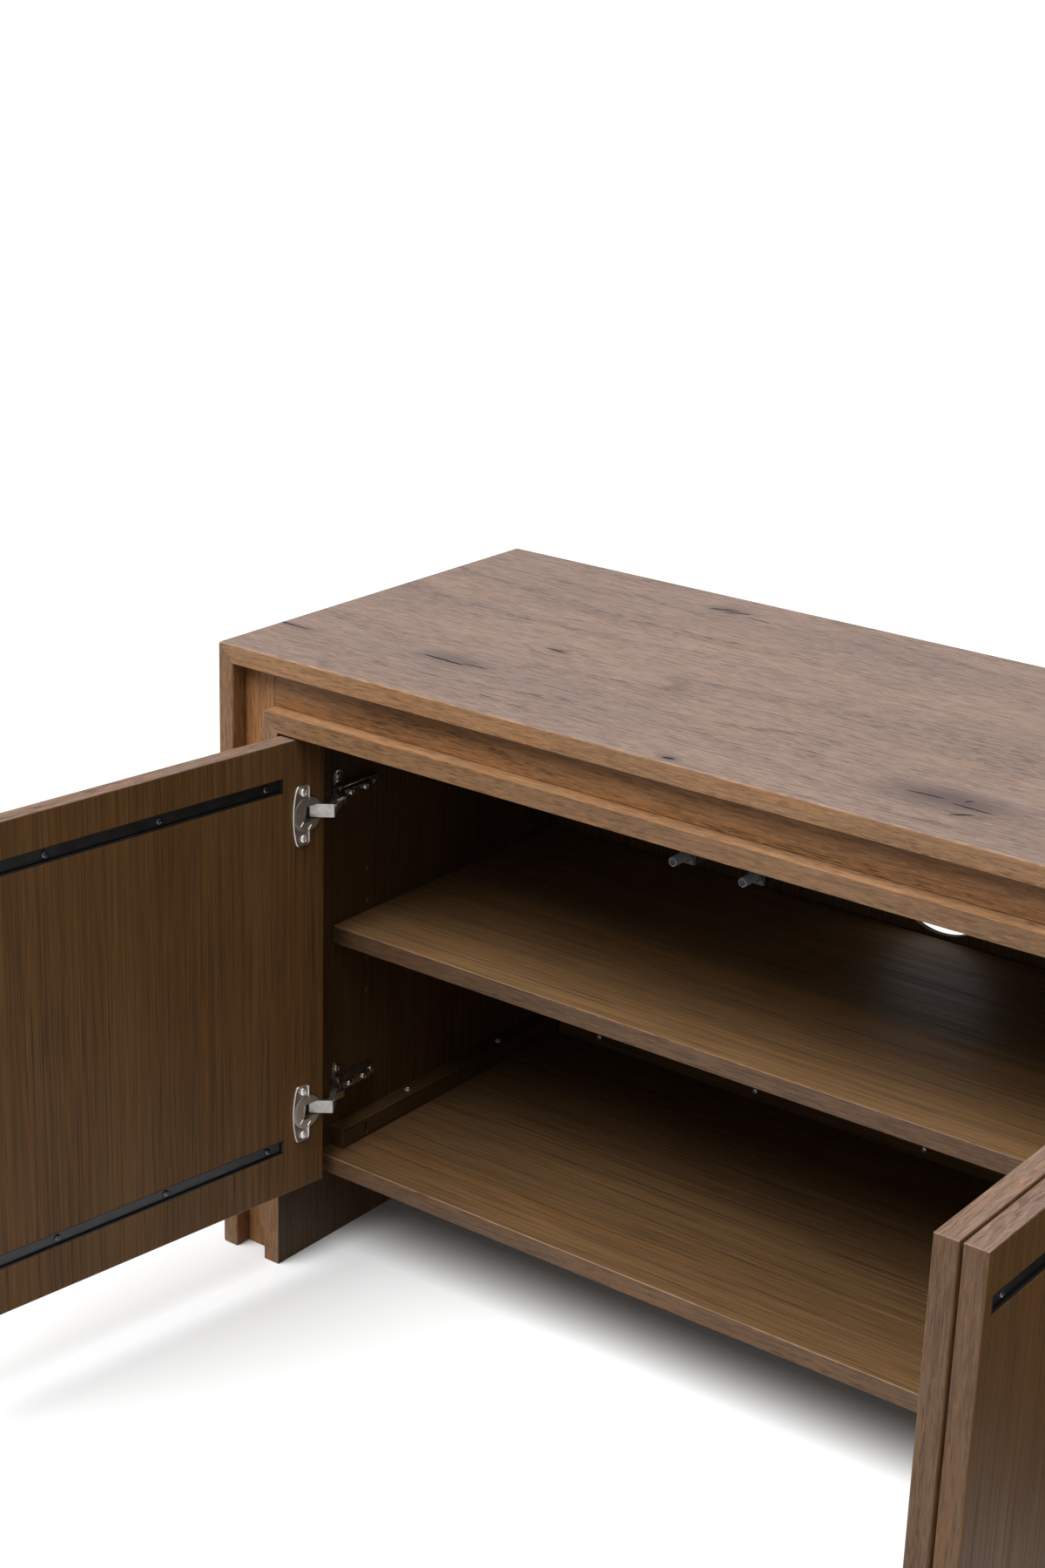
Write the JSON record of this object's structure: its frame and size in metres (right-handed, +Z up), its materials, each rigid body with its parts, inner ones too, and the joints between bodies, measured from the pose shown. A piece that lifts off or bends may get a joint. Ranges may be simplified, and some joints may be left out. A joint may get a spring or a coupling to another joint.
{
  "type": "media cabinet",
  "caption": "Low wooden media cabinet: a box set inside a mitred outer box, with recessed push-open doors on concealed hinges, shelves and cable holes.",
  "frame": {"origin": "on the floor under the middle of the carcass, the centre of the middle leg's underside", "axes": "+X along the cabinet to its right-hand end, doors face -Y, +Z up"},
  "size_m": [2, 0.8683, 0.622],
  "materials": {
    "oak_case": "smoked oak veneer, matt lacquer",
    "oak_door": "quarter-cut smoked oak veneer, matt lacquer",
    "oak_interior": "smoked oak, matt",
    "nickel": "satin nickel plate",
    "black_steel": "black powder coat",
    "screw_steel": "zinc plate",
    "grey_plastic": "light grey plastic",
    "black_plastic": "black plastic"
  },
  "bodies": {
    "carcass": {"outer_top_panel": "oak_case", "outer_side_panel_left": "oak_case", "outer_side_panel_right": "oak_case", "inner_top_panel": "oak_case", "inner_side_panel_left": "oak_case", "inner_side_panel_right": "oak_case", "groove_frame": "oak_case", "bottom_panel": "oak_case", "shelf_left": "oak_case", "shelf_right": "oak_case", "rear_spacer_frame": "oak_interior", "centre_divider": "oak_interior", "back_panel": "oak_interior", "side_cleat_left": "oak_interior", "side_cleat_right": "oak_interior", "centre_leg": "oak_interior", "door_1_upper_hinge_arm": "nickel", "door_1_lower_hinge_arm": "nickel", "push_latch_1_housing": "black_plastic", "door_2_upper_hinge_arm": "nickel", "door_2_lower_hinge_arm": "nickel", "push_latch_2_housing": "black_plastic", "door_3_upper_hinge_arm": "nickel", "door_3_lower_hinge_arm": "nickel", "push_latch_3_housing": "black_plastic", "door_4_upper_hinge_arm": "nickel", "door_4_lower_hinge_arm": "nickel", "push_latch_4_housing": "black_plastic"},
    "door_1": {"door_1_panel": "oak_door", "door_1_upper_straightener": "black_steel", "door_1_upper_hinge_cup": "nickel", "door_1_lower_straightener": "black_steel", "door_1_lower_hinge_cup": "nickel"},
    "door_1_links": {"door_1_upper_hinge_link": "nickel", "door_1_lower_hinge_link": "nickel"},
    "plunger_1": {"push_latch_1_plunger": "grey_plastic"},
    "door_2": {"door_2_panel": "oak_door", "door_2_upper_straightener": "black_steel", "door_2_upper_hinge_cup": "nickel", "door_2_lower_straightener": "black_steel", "door_2_lower_hinge_cup": "nickel"},
    "door_2_links": {"door_2_upper_hinge_link": "nickel", "door_2_lower_hinge_link": "nickel"},
    "plunger_2": {"push_latch_2_plunger": "grey_plastic"},
    "door_3": {"door_3_panel": "oak_door", "door_3_upper_straightener": "black_steel", "door_3_upper_hinge_cup": "nickel", "door_3_lower_straightener": "black_steel", "door_3_lower_hinge_cup": "nickel"},
    "door_3_links": {"door_3_upper_hinge_link": "nickel", "door_3_lower_hinge_link": "nickel"},
    "plunger_3": {"push_latch_3_plunger": "grey_plastic"},
    "door_4": {"door_4_panel": "oak_door", "door_4_upper_straightener": "black_steel", "door_4_upper_hinge_cup": "nickel", "door_4_lower_straightener": "black_steel", "door_4_lower_hinge_cup": "nickel"},
    "door_4_links": {"door_4_upper_hinge_link": "nickel", "door_4_lower_hinge_link": "nickel"},
    "plunger_4": {"push_latch_4_plunger": "grey_plastic"}
  },
  "joints": [
    {"name": "door_1_swing", "type": "hinge", "parent": "carcass", "child": "door_1", "pos_m": [-0.9205, -0.1895, 0.31725], "axis": [0, 0, 1], "range_deg": [0, 97.75]},
    {"name": "door_1_link_swing", "type": "hinge", "parent": "carcass", "child": "door_1_links", "pos_m": [-0.906, -0.169, 0.31725], "axis": [0, 0, 1], "range_deg": [0, 97.75]},
    {"name": "plunger_1_slide", "type": "slide", "parent": "carcass", "child": "plunger_1", "axis": [0, 1, 0], "range_m": [0, 0.0175]},
    {"name": "door_2_swing", "type": "hinge", "parent": "carcass", "child": "door_2", "pos_m": [-0.0055, -0.1858, 0.31725], "axis": [0, 0, -1], "range_deg": [0, 90]},
    {"name": "door_2_link_swing", "type": "hinge", "parent": "carcass", "child": "door_2_links", "pos_m": [-0.0185, -0.1691, 0.31725], "axis": [0, 0, -1], "range_deg": [0, 90]},
    {"name": "plunger_2_slide", "type": "slide", "parent": "carcass", "child": "plunger_2", "axis": [0, 1, 0], "range_m": [0, 0.0175]},
    {"name": "door_3_swing", "type": "hinge", "parent": "carcass", "child": "door_3", "pos_m": [0.0055, -0.1858, 0.31725], "axis": [0, 0, 1], "range_deg": [0, 90]},
    {"name": "door_3_link_swing", "type": "hinge", "parent": "carcass", "child": "door_3_links", "pos_m": [0.0185, -0.1691, 0.31725], "axis": [0, 0, 1], "range_deg": [0, 90]},
    {"name": "plunger_3_slide", "type": "slide", "parent": "carcass", "child": "plunger_3", "axis": [0, 1, 0], "range_m": [0, 0.0175]},
    {"name": "door_4_swing", "type": "hinge", "parent": "carcass", "child": "door_4", "pos_m": [0.9205, -0.1895, 0.31725], "axis": [0, 0, -1], "range_deg": [0, 97.75]},
    {"name": "door_4_link_swing", "type": "hinge", "parent": "carcass", "child": "door_4_links", "pos_m": [0.906, -0.169, 0.31725], "axis": [0, 0, -1], "range_deg": [0, 97.75]},
    {"name": "plunger_4_slide", "type": "slide", "parent": "carcass", "child": "plunger_4", "axis": [0, 1, 0], "range_m": [0, 0.0175]}
  ],
  "couplings": [
    {"joint": "door_1_link_swing", "follows": "door_1_swing", "ratio": 1},
    {"joint": "plunger_1_slide", "follows": "door_1_swing", "m_per_rad": 0.01014},
    {"joint": "door_2_link_swing", "follows": "door_2_swing", "ratio": 1},
    {"joint": "plunger_2_slide", "follows": "door_2_swing", "m_per_rad": 0.011014},
    {"joint": "door_3_link_swing", "follows": "door_3_swing", "ratio": 1},
    {"joint": "plunger_3_slide", "follows": "door_3_swing", "m_per_rad": 0.011014},
    {"joint": "door_4_link_swing", "follows": "door_4_swing", "ratio": 1},
    {"joint": "plunger_4_slide", "follows": "door_4_swing", "m_per_rad": 0.01014}
  ]
}
